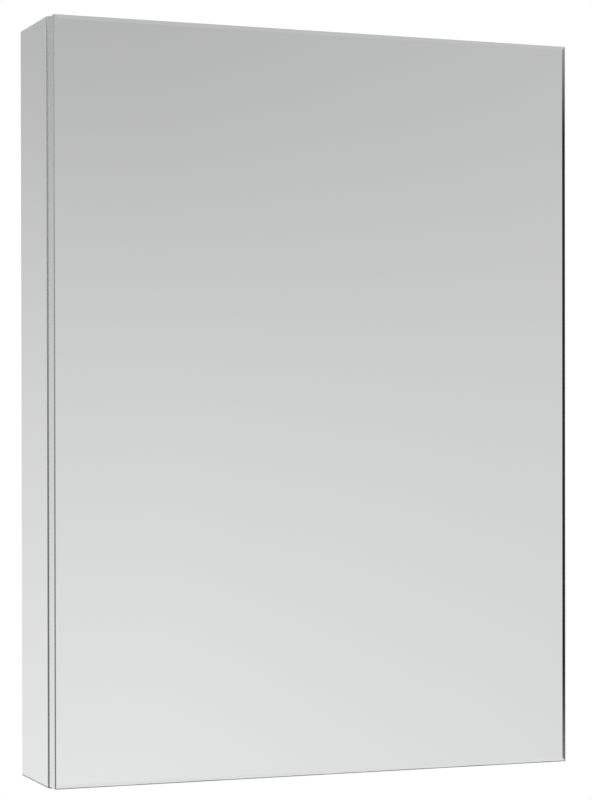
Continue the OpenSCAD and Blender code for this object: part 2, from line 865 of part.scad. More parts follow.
left_side_panel();
right_side_panel();
top_panel();
bottom_panel();
back_panel();
left_side_mirror();
right_side_mirror();
corner_dowels();
cam_bolts();
cam_discs();
cam_caps();
upper_shelf();
middle_shelf();
lower_shelf();
shelf_supports();
left_hanger_housing();
right_hanger_housing();
left_hanger_hook();
right_hanger_hook();
hanger_reach_screws();
hanger_height_screws();
left_hanger_cover();
right_hanger_cover();
left_wall_plate();
right_wall_plate();
case_hinge_leaf();
door_hinge_leaf();
hinge_pin();
case_leaf_screws();
door_leaf_screws();
door_board();
door_edge_profile();
mirror_tape();
door_mirror();
strike_plate();
bumper_pads();
latch_housing();
latch_plunger();
latch_magnet();
latch_spring();
latch_screws();
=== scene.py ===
import math

import bmesh
import bpy
from mathutils import Matrix, Vector


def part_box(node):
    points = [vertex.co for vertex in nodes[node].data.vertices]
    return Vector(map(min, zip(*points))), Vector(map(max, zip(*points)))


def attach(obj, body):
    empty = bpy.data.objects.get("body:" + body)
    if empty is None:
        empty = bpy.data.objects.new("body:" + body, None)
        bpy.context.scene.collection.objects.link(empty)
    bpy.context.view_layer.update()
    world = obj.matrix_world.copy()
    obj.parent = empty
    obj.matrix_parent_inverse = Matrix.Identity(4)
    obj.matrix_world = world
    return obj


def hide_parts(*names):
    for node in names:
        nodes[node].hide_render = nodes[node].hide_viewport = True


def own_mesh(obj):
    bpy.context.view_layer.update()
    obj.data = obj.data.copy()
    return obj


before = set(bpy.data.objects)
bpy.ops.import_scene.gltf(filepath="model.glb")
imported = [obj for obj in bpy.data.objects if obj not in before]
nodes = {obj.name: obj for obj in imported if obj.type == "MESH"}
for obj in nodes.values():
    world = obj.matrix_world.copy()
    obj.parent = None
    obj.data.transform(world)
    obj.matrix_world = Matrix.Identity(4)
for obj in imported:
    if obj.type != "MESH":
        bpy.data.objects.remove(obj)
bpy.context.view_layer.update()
mm = 0.001
hair = 0.001 * mm  # two places closer than this are one place
print("frame loaded:", len(nodes), "nodes")


# the photograph's camera, in the object's own frame
cameraSettings = {
    "place": (-0.90731, -2.37528, -0.34671),
    "forward": (0.36435, 0.93123, -0.0076),
    "up": (0.00408, 0.00656, 0.99997),
    "focalPixels": 2425.4, "shiftPixels": 55.6, "photoHeight": 800,
    "sensor": 36.0, "near": 0.05, "far": 60.0,
}


def placeCamera(settings):
    data = bpy.data.cameras.new("photoCamera")
    camera = bpy.data.objects.new("photoCamera", data)
    bpy.context.scene.collection.objects.link(camera)
    forward = Vector(settings["forward"]).normalized()
    right = forward.cross(Vector(settings["up"])).normalized()
    up = right.cross(forward)
    turn = Matrix((right, up, -forward)).transposed().to_4x4()
    camera.matrix_world = Matrix.Translation(settings["place"]) @ turn
    data.sensor_width = settings["sensor"]
    data.lens = settings["focalPixels"] / settings["photoHeight"] * settings["sensor"]
    data.shift_y = settings["shiftPixels"] / settings["photoHeight"]
    data.clip_start = settings["near"]
    data.clip_end = settings["far"]
    bpy.context.scene.camera = camera


placeCamera(cameraSettings)
bpy.context.scene.view_settings.view_transform = "Standard"
print("camera placed")


def feed(tree, socket, value):
    # a link where the value comes from a node, else the number itself
    if isinstance(value, bpy.types.NodeSocket):
        tree.links.new(value, socket)
    else:
        socket.default_value = value


def addNode(tree, kind, *values, **settings):
    # the values go into the node's inputs from the first on
    node = tree.nodes.new(kind)
    for key, value in settings.items():
        setattr(node, key, value)
    for socket, value in zip(node.inputs, values):
        feed(tree, socket, value)
    return node


def calc(tree, operation, *values):
    return addNode(tree, "ShaderNodeMath", *values, operation=operation).outputs[0]


def calcVector(tree, operation, *values):
    node = addNode(tree, "ShaderNodeVectorMath", *values, operation=operation)
    return node.outputs["Value" if operation in ("DOT_PRODUCT", "LENGTH") else "Vector"]


def split(tree, vector):
    return addNode(tree, "ShaderNodeSeparateXYZ", vector).outputs


def mixValues(tree, first, second, share):
    # a share of the second, and the first for the rest
    return calc(tree, "MULTIPLY_ADD", first, 1 - share, calc(tree, "MULTIPLY", second, share))


def mapRange(tree, value, low, high, start=0.0, end=1.0, kind="LINEAR"):
    # brings what lies from low to high to start to end
    node = addNode(tree, "ShaderNodeMapRange", value, low, high, start, end, interpolation_type=kind)
    return node.outputs["Result"]


def fade(tree, value, low, high):
    # 0 at low and 1 at high, soft in between; where low is the larger it falls instead
    return mapRange(tree, value, low, high, kind="SMOOTHSTEP")


def closeTo(tree, distance, width, core):
    # 1 as far as the core, which is a share of the width, and 0 past the width
    return fade(tree, distance, width, core * width)


def spread(tree, pattern, low, high):
    # nearly all of a noise lies from 0.3 to 0.7, and that part is spread over low to high
    return mapRange(tree, pattern, 0.3, 0.7, low, high)


def blendColours(tree, factor, first, second):
    node = addNode(tree, "ShaderNodeMix", data_type="RGBA")
    feed(tree, node.inputs["Factor"], factor)
    feed(tree, node.inputs["A"], first)
    feed(tree, node.inputs["B"], second)
    return node.outputs["Result"]


def rgba(colour, share=1.0):
    return (colour[0] * share, colour[1] * share, colour[2] * share, 1.0)


def grey(level):
    return rgba((level, level, level))


def mottle(tree, pattern, colour, share):
    # the pattern takes the colour down to a share of itself
    return blendColours(tree, spread(tree, pattern, 0.0, 1.0), rgba(colour, share), rgba(colour))


def objectPlace(tree):
    return addNode(tree, "ShaderNodeTexCoord").outputs["Object"]


def noise(tree, place, scale, detail=2.0, rough=0.5, stretch=None):
    if stretch:
        mapping = addNode(tree, "ShaderNodeMapping", vector_type="POINT")
        mapping.inputs["Scale"].default_value = stretch
        feed(tree, mapping.inputs["Vector"], place)
        place = mapping.outputs["Vector"]
    node = addNode(tree, "ShaderNodeTexNoise")
    feed(tree, node.inputs["Vector"], place)
    node.inputs["Scale"].default_value = scale
    node.inputs["Detail"].default_value = detail
    node.inputs["Roughness"].default_value = rough
    return node.outputs["Fac"]


def bump(tree, height, depth, strength=1.0, normal=None):
    node = addNode(tree, "ShaderNodeBump")
    node.inputs["Strength"].default_value = strength
    node.inputs["Distance"].default_value = depth
    feed(tree, node.inputs["Height"], height)
    if normal is not None:
        feed(tree, node.inputs["Normal"], normal)
    return node.outputs["Normal"]


def startMaterial(name, roughness=0.5, metallic=0.0):
    material = bpy.data.materials.new(name)
    material.use_nodes = True
    tree = material.node_tree
    shader = next(n for n in tree.nodes if n.type == "BSDF_PRINCIPLED")
    shader.inputs["Roughness"].default_value = roughness
    shader.inputs["Metallic"].default_value = metallic
    return material, tree, shader, objectPlace(tree)


def dress(tree, shader, colour, roughness=None, normal=None):
    for key, value in (("Base Color", colour), ("Roughness", roughness), ("Normal", normal)):
        if value is not None:
            feed(tree, shader.inputs[key], value)


def boxDistances(tree, place, low, high):
    # how far a point is inside the box, along x, y and z
    centre = (low + high) / 2
    half = (high - low) / 2
    away = calcVector(tree, "ABSOLUTE", calcVector(tree, "SUBTRACT", place, centre))
    return split(tree, calcVector(tree, "SUBTRACT", half, away))


def edgeDistance(tree, depth, thin):
    # how far a point is from the narrow sides of a piece that is thin along one axis
    first, second = [depth[k] for k in range(3) if k != thin]
    return calc(tree, "MINIMUM", first, second)


def paint(names, material):
    for name in names:
        piece = nodes[name] if isinstance(name, str) else name
        piece.data.materials.clear()
        piece.data.materials.append(material)


boardFinish = {
    "white": (0.86, 0.86, 0.85), "band": (0.84, 0.84, 0.83), "seam": (0.42, 0.41, 0.39),
    "chipLight": (0.62, 0.47, 0.30), "chipDark": (0.33, 0.22, 0.12),
    "roughness": 0.38, "cloudScale": 7.0, "pearlScale": 900.0, "pearlDepth": 0.02 * mm,
    "bandThickness": 0.8 * mm, "seamWidth": 0.07 * mm, "seamShare": 0.7, "inside": 0.5 * mm,
    "chipRoughness": 0.9, "chipScale": 420.0,
    "grainScale": 1300.0, "grainShare": 0.4, "grainDepth": 0.25 * mm,
}


def chipboardColour(tree, place, grain, finish):
    chips = addNode(tree, "ShaderNodeTexVoronoi", feature="F1")
    feed(tree, chips.inputs["Vector"], place)
    chips.inputs["Scale"].default_value = finish["chipScale"]
    tone = mixValues(tree, split(tree, chips.outputs["Color"])[0], grain, finish["grainShare"])
    return blendColours(tree, tone, rgba(finish["chipDark"]), rgba(finish["chipLight"]))


def makeBoard(node, finish, thin):
    # white melamine with a banded edge, and bare chipboard in the drilled holes and grooves
    # thin is the axis of the board's thickness, 0 for x, 1 for y, 2 for z
    low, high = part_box(node)
    material, tree, shader, place = startMaterial(node + "Melamine")
    depth = boxDistances(tree, place, low, high)
    fromEdge = edgeDistance(tree, depth, thin)
    raw = calc(tree, "GREATER_THAN", calc(tree, "MINIMUM", fromEdge, depth[thin]), finish["inside"])
    band = calc(tree, "LESS_THAN", fromEdge, finish["bandThickness"])
    offSeam = calc(tree, "ABSOLUTE", calc(tree, "SUBTRACT", fromEdge, finish["bandThickness"]))
    seam = calc(tree, "MULTIPLY", closeTo(tree, offSeam, finish["seamWidth"], 0.2), finish["seamShare"])
    cloud = noise(tree, place, finish["cloudScale"], 3.0)
    skin = blendColours(tree, band, mottle(tree, cloud, finish["white"], 0.985), rgba(finish["band"]))
    skin = blendColours(tree, seam, skin, rgba(finish["seam"]))
    grain = noise(tree, place, finish["grainScale"], 4.0, 0.65)
    chip = chipboardColour(tree, place, grain, finish)
    pearl = noise(tree, place, finish["pearlScale"], 3.0, 0.6)
    smooth = spread(tree, pearl, finish["roughness"] - 0.04, finish["roughness"] + 0.05)
    dull = calc(tree, "MULTIPLY", raw, finish["chipRoughness"])
    skinBump = bump(tree, pearl, finish["pearlDepth"])
    relief = bump(tree, calc(tree, "MULTIPLY", grain, raw), finish["grainDepth"], normal=skinBump)
    dress(tree, shader, blendColours(tree, raw, skin, chip), calc(tree, "MAXIMUM", smooth, dull), relief)
    paint([node], material)


for sideBoard in ("left_side_panel", "right_side_panel"):
    makeBoard(sideBoard, boardFinish, 0)
for endBoard in ("top_panel", "bottom_panel"):
    makeBoard(endBoard, boardFinish, 2)
makeBoard("door_board", boardFinish, 1)

backFinish = {
    "white": (0.84, 0.84, 0.83), "fibreLight": (0.50, 0.36, 0.23), "fibreDark": (0.36, 0.25, 0.15),
    "skin": 0.6 * mm, "cloudScale": 9.0, "fibreScale": 260.0, "fibreDepth": 0.06 * mm,
    "matScale": 22.0, "matShare": 0.35, "roughness": 0.42, "bareRoughness": 0.77,
}


def makeBackPanel(node, finish):
    # hardboard: painted white towards the shelves, bare brown fibre towards the wall
    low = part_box(node)[0]
    material, tree, shader, place = startMaterial("paintedHardboard")
    bareOrShadedRim = calc(tree, "GREATER_THAN", split(tree, place)[1], low.y + finish["skin"])
    fibres = noise(tree, place, finish["fibreScale"], 6.0, 0.7)
    mat = noise(tree, place, finish["matScale"], 4.0, 0.6, stretch=(1.0, 1.0, 2.5))
    tone = fade(tree, mixValues(tree, fibres, mat, finish["matShare"]), 0.34, 0.66)
    brown = blendColours(tree, tone, rgba(finish["fibreDark"]), rgba(finish["fibreLight"]))
    white = mottle(tree, noise(tree, place, finish["cloudScale"]), finish["white"], 0.98)
    rise = finish["bareRoughness"] - finish["roughness"]
    dull = calc(tree, "MULTIPLY_ADD", bareOrShadedRim, rise, finish["roughness"])
    relief = bump(tree, fibres, finish["fibreDepth"], 0.8)
    dress(tree, shader, blendColours(tree, bareOrShadedRim, white, brown), dull, relief)
    paint([node], material)


makeBackPanel("back_panel", backFinish)

# the Low and High shares paint the ground edge and the rim darker at the foot and paler at the top, as
# painted light
mirrorFinish = {
    "silver": (0.925, 0.93, 0.93), "paint": (0.30, 0.33, 0.33), "glassTint": (0.94, 1.0, 0.98),
    "edgeLow": 0.035, "edgeHigh": 0.50, "rimLow": 0.27, "rimHigh": 0.78, "paintedLightCurve": 1.7,
    "rimWidth": 0.7 * mm, "arrisWidth": 0.7 * mm, "arrisRoughness": 0.30, "edgeRoughness": 0.26,
    "edgeDepth": 0.02 * mm, "stoneScale": 2600.0, "paintDepth": 0.3 * mm,
    "haze": 0.006, "breathScale": 5.0, "lowerShadeReach": 1.4 * mm, "lowerShadeScale": 26.0,
}
sideMirrorFinish = dict(mirrorFinish, edgeLow=0.28, edgeHigh=0.64, rimLow=0.42, rimHigh=0.42, paintedLightCurve=2.0,
                        rimWidth=0.5 * mm, lowerShadeReach=3.0 * mm)


def lowerEdgeShade(tree, place, low, finish):
    # painted shade: a ragged band along the lower edge is painted in the rim's colour, which is darkest at
    # the foot
    fromBottom = calc(tree, "SUBTRACT", split(tree, place)[2], low.z)
    ragged = noise(tree, place, finish["lowerShadeScale"], 4.0, 0.6)
    reach = calc(tree, "MULTIPLY", spread(tree, ragged, 0.55, 1.0), finish["lowerShadeReach"])
    return closeTo(tree, calc(tree, "DIVIDE", fromBottom, reach), 1.0, 0.55)


def glassEdge(tree, place, glow, finish):
    # ground glass edge, with the grain of the stone in it, painted paler towards the top by glow as painted
    # light
    tint, low, high = finish["glassTint"], finish["edgeLow"], finish["edgeHigh"]
    stone = noise(tree, place, finish["stoneScale"], 3.0, 0.6)
    dark, pale = [blendColours(tree, glow, rgba(tint, share * low), rgba(tint, share * high))
                  for share in (0.88, 1.12)]
    return blendColours(tree, spread(tree, stone, 0.0, 1.0), dark, pale)


def makeMirror(node, name, finish, facing, faceSign):
    # silvered glass: a clear face inside a rim painted darker as painted edge shade, a ground arris, and a
    # painted back
    # facing is the axis that the face looks along, and faceSign its direction
    material, tree, shader, place = startMaterial(name)
    low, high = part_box(node)
    fromEdge = edgeDistance(tree, boxDistances(tree, place, low, high), facing)
    edge = calc(tree, "LESS_THAN", fromEdge, finish["edgeDepth"])
    through = split(tree, place)[facing]
    if faceSign < 0:
        back = calc(tree, "GREATER_THAN", through, high[facing] - finish["paintDepth"])
    else:
        back = calc(tree, "LESS_THAN", through, low[facing] + finish["paintDepth"])
    breath = noise(tree, place, finish["breathScale"], 4.0, 0.6)
    # painted light: the rim and the ground edge are painted paler towards the top, standing in for light that
    # runs down inside the pane
    glow = calc(tree, "POWER", fade(tree, split(tree, place)[2], low.z, high.z), finish["paintedLightCurve"])
    bareOrShadedRim = blendColours(tree, glow, rgba(finish["glassTint"], finish["rimLow"]),
                        rgba(finish["glassTint"], finish["rimHigh"]))
    # painted shade: a thin rim round the face is painted in a darker glass tone
    rim = closeTo(tree, fromEdge, finish["rimWidth"], 0.3)
    # painted shade: the ragged band along the lower edge is painted in the same darker tone
    wornOrShadedRim = calc(tree, "MAXIMUM", rim, lowerEdgeShade(tree, place, low, finish))
    colour = blendColours(tree, wornOrShadedRim, mottle(tree, breath, finish["silver"], 0.992), bareOrShadedRim)
    colour = blendColours(tree, back, colour, rgba(finish["paint"]))
    colour = blendColours(tree, edge, colour, glassEdge(tree, place, glow, finish))
    dull = calc(tree, "MAXIMUM", edge, back)
    feed(tree, shader.inputs["Metallic"], calc(tree, "SUBTRACT", 1.0, dull))
    film = spread(tree, breath, 0.0, finish["haze"])
    arris = closeTo(tree, fromEdge, finish["arrisWidth"], 0.4)
    polish = calc(tree, "MULTIPLY_ADD", arris, finish["arrisRoughness"], film)
    ground = calc(tree, "MULTIPLY", dull, finish["edgeRoughness"])
    dress(tree, shader, colour, calc(tree, "MAXIMUM", polish, ground))
    paint([node], material)


makeMirror("door_mirror", "doorSilvering", mirrorFinish, 1, -1)
makeMirror("left_side_mirror", "leftSilvering", sideMirrorFinish, 0, -1)
makeMirror("right_side_mirror", "rightSilvering", sideMirrorFinish, 0, 1)

profileFinish = {
    "deep": (0.745, 0.768, 0.763), "pale": (0.885, 0.91, 0.905), "joint": (0.33, 0.34, 0.34),
    "lineScale": 900.0, "lineStretch": 0.012, "lineShare": 0.26, "lineDepth": 0.004 * mm,
    # drift is how much paler the foot is painted, as painted reflection
    "drift": 0.68, "roughness": 0.16, "mitreWidth": 0.12 * mm,
}


def makeProfile(node, finish):
    # satin anodised extrusion: fine lines along its length, a joint line at each mitre
    low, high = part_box(node)
    material, tree, shader, place = startMaterial("satinAnodised", metallic=1.0)
    depth = boxDistances(tree, place, low, high)
    offMitre = calc(tree, "ABSOLUTE", calc(tree, "SUBTRACT", depth[0], depth[2]))
    mitre = closeTo(tree, offMitre, finish["mitreWidth"], 0.3)
    stretch = finish["lineStretch"]
    lines = addNode(tree, "ShaderNodeMix", data_type="FLOAT")
    feed(tree, lines.inputs["Factor"], calc(tree, "LESS_THAN", depth[0], depth[2]))
    for socket, along in (("A", (stretch, 1.0, 1.0)), ("B", (1.0, 1.0, stretch))):
        feed(tree, lines.inputs[socket], noise(tree, place, finish["lineScale"], 3.0, 0.6, stretch=along))
    drawn = lines.outputs["Result"]
    # painted reflection: the metal is painted a shade paler towards the foot, standing in for the brighter
    # studio it reflects low down
    paintedFootLight = calc(tree, "MULTIPLY", fade(tree, split(tree, place)[2], high.z, low.z), finish["drift"])
    tone = calc(tree, "MULTIPLY_ADD", spread(tree, drawn, 0.0, 1.0), finish["lineShare"], paintedFootLight)
    metal = blendColours(tree, tone, rgba(finish["deep"]), rgba(finish["pale"]))
    metal = blendColours(tree, mitre, metal, rgba(finish["joint"]))
    satin = spread(tree, drawn, finish["roughness"] - 0.03, finish["roughness"] + 0.05)
    dress(tree, shader, metal, satin, bump(tree, drawn, finish["lineDepth"]))
    paint([node], material)


makeProfile("door_edge_profile", profileFinish)


steelFinishes = {
    "zincPlate": {"colour": (0.66, 0.68, 0.70), "tint": (0.70, 0.68, 0.60), "roughness": 0.34,
                  "stretch": (1.0, 1.0, 1.0), "depth": 0.01 * mm},
    "hingeStrip": {"colour": (0.72, 0.72, 0.73), "roughness": 0.27,
                   "stretch": (1.0, 1.0, 0.02), "depth": 0.006 * mm},
    "brightSteel": {"colour": (0.76, 0.76, 0.77), "roughness": 0.20,
                    "stretch": (0.4, 1.0, 0.4), "depth": 0.004 * mm},
    "springSteel": {"colour": (0.50, 0.51, 0.53), "roughness": 0.28,
                    "stretch": (1.0, 1.0, 1.0), "depth": 0.005 * mm},
}
markScale = 1100.0
platingScale = 60.0


def makeSteel(name, finish):
    # plated or rolled steel: fine marks along one axis and a slow drift of the plating's tone
    material, tree, shader, place = startMaterial(name, metallic=1.0)
    marks = noise(tree, place, markScale, 3.0, 0.6, stretch=finish["stretch"])
    drift = noise(tree, place, platingScale, 3.0)
    shade = mottle(tree, marks, finish["colour"], 0.90)
    if "tint" in finish:
        shade = blendColours(tree, spread(tree, drift, 0.0, 0.45), shade, rgba(finish["tint"]))
    wornOrShadedRim = spread(tree, marks, finish["roughness"] - 0.05, finish["roughness"] + 0.06)
    dull = calc(tree, "ADD", wornOrShadedRim, spread(tree, drift, -0.03, 0.03))
    dress(tree, shader, shade, dull, bump(tree, marks, finish["depth"]))
    return material


zincPlate, hingeStrip, brightSteel, springSteel = [
    makeSteel(name, finish) for name, finish in steelFinishes.items()]
paint(["left_wall_plate", "right_wall_plate", "left_hanger_hook", "right_hanger_hook"], zincPlate)
paint(["cam_bolts", "cam_discs"], zincPlate)
paint(["case_hinge_leaf", "door_hinge_leaf"], hingeStrip)
paint(["hinge_pin"], brightSteel)


mouldingFinishes = {
    "whiteMoulding": {"colour": (0.83, 0.83, 0.82), "roughness": 0.36, "grain": 1500.0, "depth": 0.02 * mm},
    "greyMoulding": {"colour": (0.46, 0.47, 0.48), "roughness": 0.44, "grain": 1300.0, "depth": 0.03 * mm},
    "sinteredMagnet": {"colour": (0.055, 0.055, 0.058), "roughness": 0.5, "grain": 2200.0,
                       "depth": 0.04 * mm},
}
flowScale = 45.0


def makeMoulding(name, finish):
    # moulded plastic or pressed powder with a fine eroded texture
    material, tree, shader, place = startMaterial(name)
    grain = noise(tree, place, finish["grain"], 3.0, 0.6)
    colour = mottle(tree, noise(tree, place, flowScale), finish["colour"], 0.965)
    dull = spread(tree, grain, finish["roughness"] - 0.05, finish["roughness"] + 0.06)
    dress(tree, shader, colour, dull, bump(tree, grain, finish["depth"]))
    return material


whiteMoulding, greyMoulding, magnetBlack = [
    makeMoulding(name, finish) for name, finish in mouldingFinishes.items()]
paint(["left_hanger_housing", "right_hanger_housing"], greyMoulding)
paint(["latch_magnet"], magnetBlack)


foamFinish = {
    "colour": (0.10, 0.10, 0.105), "roughness": 0.85,
    "poreShadow": 0.6, "poreScale": 1400.0, "poreDepth": 0.08 * mm,
}


def makeFoam(node, finish):
    # closed-cell foam tape
    material, tree, shader, place = startMaterial("foamTape", roughness=finish["roughness"])
    pores = addNode(tree, "ShaderNodeTexVoronoi", feature="SMOOTH_F1")
    feed(tree, pores.inputs["Vector"], place)
    pores.inputs["Scale"].default_value = finish["poreScale"]
    depth = pores.outputs["Distance"]
    # painted shadow: the pores are painted darker where they dip
    colour = blendColours(tree, fade(tree, depth, 0.1, 0.6), rgba(finish["colour"], finish["poreShadow"]),
                          rgba(finish["colour"]))
    dress(tree, shader, colour, normal=bump(tree, depth, finish["poreDepth"]))
    paint([node], material)


beechFinish = {
    "pale": (0.74, 0.55, 0.36), "deep": (0.55, 0.36, 0.20), "fleck": (0.40, 0.24, 0.13), "roughness": 0.6,
    "grainScale": 500.0, "grainDepth": 0.08 * mm, "fleckScale": 1500.0,
}


def makeBeech(node, finish):
    # dowels lie along x, with their grain and short flecks along them
    material, tree, shader, place = startMaterial("beechDowel", roughness=finish["roughness"])
    grain = noise(tree, place, finish["grainScale"], 4.0, 0.6, stretch=(0.06, 1.0, 1.0))
    flecks = noise(tree, place, finish["fleckScale"], 2.0, 0.5, stretch=(0.2, 1.0, 1.0))
    wood = blendColours(tree, spread(tree, grain, 0.0, 1.0), rgba(finish["deep"]), rgba(finish["pale"]))
    wood = blendColours(tree, fade(tree, flecks, 0.58, 0.70), wood, rgba(finish["fleck"]))
    dress(tree, shader, wood, normal=bump(tree, grain, finish["grainDepth"]))
    paint([node], material)


makeFoam("mirror_tape", foamFinish)
makeBeech("corner_dowels", beechFinish)

shelfFinish = {
    "face": (0.955, 0.985, 0.975), "edge": (0.42, 0.72, 0.62), "index": 1.52, "streakScale": 4.0,
    "groundWidth": 0.55 * mm, "edgeRoughness": 0.28, "stoneScale": 1600.0, "stoneDepth": 0.004 * mm,
}


def makeShelfGlass(node, finish):
    # clear float glass: the faces show little, the ground edges glow green
    low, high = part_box(node)
    material, tree, shader, place = startMaterial(node + "Glass")
    shader.inputs["IOR"].default_value = finish["index"]
    shader.inputs["Transmission Weight"].default_value = 1.0
    fromEdge = edgeDistance(tree, boxDistances(tree, place, low, high), 2)
    ground = calc(tree, "LESS_THAN", fromEdge, finish["groundWidth"])
    stone = noise(tree, place, finish["stoneScale"], 3.0)
    streak = noise(tree, place, finish["streakScale"], 2.0)
    face = mottle(tree, streak, finish["face"], 0.99)
    rim = mottle(tree, stone, finish["edge"], 0.9)
    dull = spread(tree, stone, finish["edgeRoughness"] - 0.08, finish["edgeRoughness"])
    relief = bump(tree, calc(tree, "MULTIPLY", stone, ground), finish["stoneDepth"])
    dress(tree, shader, blendColours(tree, ground, face, rim), calc(tree, "MULTIPLY", ground, dull), relief)
    paint([node], material)


for shelf in ("upper_shelf", "middle_shelf", "lower_shelf"):
    makeShelfGlass(shelf, shelfFinish)
print("finishes made:", len(bpy.data.materials))


def clearSelection():
    bpy.ops.object.select_all(action="DESELECT")


def choose(piece):
    clearSelection()
    bpy.context.view_layer.objects.active = piece
    piece.select_set(True)


def rename(piece, name):
    piece.name = name
    piece.data.name = name


def editStart(piece):
    choose(piece)
    bpy.ops.object.mode_set(mode="EDIT")


def editEnd():
    bpy.ops.object.mode_set(mode="OBJECT")


def pick(piece, kind, wanted):
    # selects the faces or edges that pass the test
    bpy.ops.mesh.select_mode(type=kind)
    bpy.ops.mesh.select_all(action="DESELECT")
    mesh = bmesh.from_edit_mesh(piece.data)
    for part in (mesh.faces if kind == "FACE" else mesh.edges):
        part.select_set(wanted(part))
    mesh.select_flush_mode()
    bmesh.update_edit_mesh(piece.data)


def pickFaces(piece, wanted):
    # the test takes a face's centre and its normal
    pick(piece, "FACE", lambda face: wanted(face.calc_center_median(), face.normal))


def bevelEdges(piece, wanted, width, steps):
    # the test takes an edge's two ends
    pick(piece, "EDGE", lambda edge: wanted(edge.verts[0].co, edge.verts[1].co))
    bpy.ops.mesh.bevel(offset=width, segments=steps)


def extrude(shift, scale=(1, 1, 1)):
    bpy.ops.mesh.extrude_region_move(TRANSFORM_OT_translate={"value": shift})
    bpy.ops.transform.resize(value=scale)


def settle(piece):
    # puts place, turn and size into the mesh
    choose(piece)
    bpy.ops.object.transform_apply(location=True, rotation=True, scale=True)


def addRod(name, radius, length, centre, axis, sides):
    turns = {"x": (0, math.pi / 2, 0), "y": (math.pi / 2, 0, 0), "z": (0, 0, 0)}
    clearSelection()
    bpy.ops.mesh.primitive_cylinder_add(vertices=sides, radius=radius, depth=length, location=centre,
                                        rotation=turns[axis])
    rod = bpy.context.object
    rename(rod, name)
    settle(rod)
    return rod


def addBlock(name, low, high):
    clearSelection()
    bpy.ops.mesh.primitive_cube_add(size=1.0, location=(Vector(low) + Vector(high)) / 2)
    block = bpy.context.object
    rename(block, name)
    block.scale = Vector(high) - Vector(low)
    settle(block)
    return block


def applyModifier(piece, kind, **settings):
    choose(piece)
    modifier = piece.modifiers.new(kind.lower(), kind)
    for key, value in settings.items():
        setattr(modifier, key, value)
    bpy.ops.object.modifier_apply(modifier=modifier.name)


def cutWith(piece, cutter):
    applyModifier(piece, "BOOLEAN", object=cutter, operation="DIFFERENCE", solver="EXACT")
    bpy.data.objects.remove(cutter)


def cutCross(piece, centre, reach, width, start, end):
    # a cross recess that runs along y from start to end
    for x, z in ((reach, width), (width, reach)):
        low, high = (centre.x - x, start, centre.z - z), (centre.x + x, end, centre.z + z)
        cutWith(piece, addBlock("slotCutter", low, high))


def roundEdges(piece, width, segments, angle=30.0):
    applyModifier(piece, "BEVEL", width=width, segments=segments, limit_method="ANGLE",
                  angle_limit=math.radians(angle))


def joinPieces(pieces, name):
    clearSelection()
    for piece in pieces:
        piece.select_set(True)
    bpy.context.view_layer.objects.active = pieces[0]
    bpy.ops.object.join()
    joined = bpy.context.view_layer.objects.active
    rename(joined, name)
    return joined


def copyTo(piece, shift, turn=None):
    twin = piece.copy()
    twin.data = piece.data.copy()
    bpy.context.scene.collection.objects.link(twin)
    twin.matrix_world = Matrix.Translation(shift) @ (turn or Matrix.Identity(4))
    settle(twin)
    return twin


def facesOut(piece):
    editStart(piece)
    bpy.ops.mesh.select_all(action="SELECT")
    bpy.ops.mesh.remove_doubles(threshold=hair)
    bpy.ops.mesh.normals_make_consistent(inside=False)
    editEnd()


def finishPiece(piece, material, body, slot, *replaced, angle=35.0):
    facesOut(piece)
    choose(piece)
    bpy.ops.object.shade_smooth_by_angle(angle=math.radians(angle))
    paint([piece], material)
    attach(piece, body)
    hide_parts(*replaced)


mirrorX = Matrix.Diagonal((-1, 1, 1, 1))

screwShape = {
    "tipInset": 0.45, "tipLength": 0.9,  # of the shank's radius
    "headSteps": ((0.45, 1.0), (0.35, 0.9), (0.2, 0.78)),  # of the head's height, and how it narrows
    "slotDepth": 0.7, "slotReach": 0.62,  # of the head's height and of its radius
}


def makeScrew(name, settings):
    # stands on y = 0 with its shank to +y and its head to -y
    shank, head = settings["shank"] / 2, settings["head"] / 2
    rise = settings["headHeight"]
    screw = addRod(name, shank, settings["length"], (0, settings["length"] / 2, 0), "y", sides=24)
    editStart(screw)
    pickFaces(screw, lambda place, normal: normal.y > 0.9)
    bpy.ops.mesh.inset(thickness=shank * screwShape["tipInset"])
    bpy.ops.transform.translate(value=(0, shank * screwShape["tipLength"], 0))
    pickFaces(screw, lambda place, normal: normal.y < -0.9)
    extrude((0, 0, 0), (head / shank, 1, head / shank))
    for step, narrow in screwShape["headSteps"]:
        extrude((0, -rise * step, 0), (narrow, 1, narrow))
    editEnd()
    cutCross(screw, Vector(), head * screwShape["slotReach"], settings["slot"] / 2,
             -rise - mm, -rise + rise * screwShape["slotDepth"])
    return screw


def setScrews(name, settings, places, turn, material, body, replaced):
    master = makeScrew(name, settings)
    copies = [copyTo(master, place, turn) for place in places]
    bpy.data.objects.remove(master)
    finishPiece(joinPieces(copies, name), material, body, "zinc_steel", replaced, angle=28.0)


leafScrew = {
    "shank": 3.0 * mm, "head": 6.0 * mm, "headHeight": 0.9 * mm, "length": 15.0 * mm, "slot": 0.8 * mm,
    "count": 8, "pitch": 88.0 * mm,
}


def leafScrewPlaces(node, seatY):
    low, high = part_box(node)
    x = (low.x + high.x) / 2
    first = low.z + leafScrew["head"] / 2
    return [Vector((x, seatY, first + k * leafScrew["pitch"])) for k in range(leafScrew["count"])]


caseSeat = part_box("case_leaf_screws")[0].y + leafScrew["headHeight"]
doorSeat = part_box("door_leaf_screws")[1].y - leafScrew["headHeight"]
setScrews("caseHingeScrews", leafScrew, leafScrewPlaces("case_leaf_screws", caseSeat), None, brightSteel,
          "case", "case_leaf_screws")
setScrews("doorHingeScrews", leafScrew, leafScrewPlaces("door_leaf_screws", doorSeat),
          Matrix.Rotation(math.pi, 4, "Z"), brightSteel, "door", "door_leaf_screws")

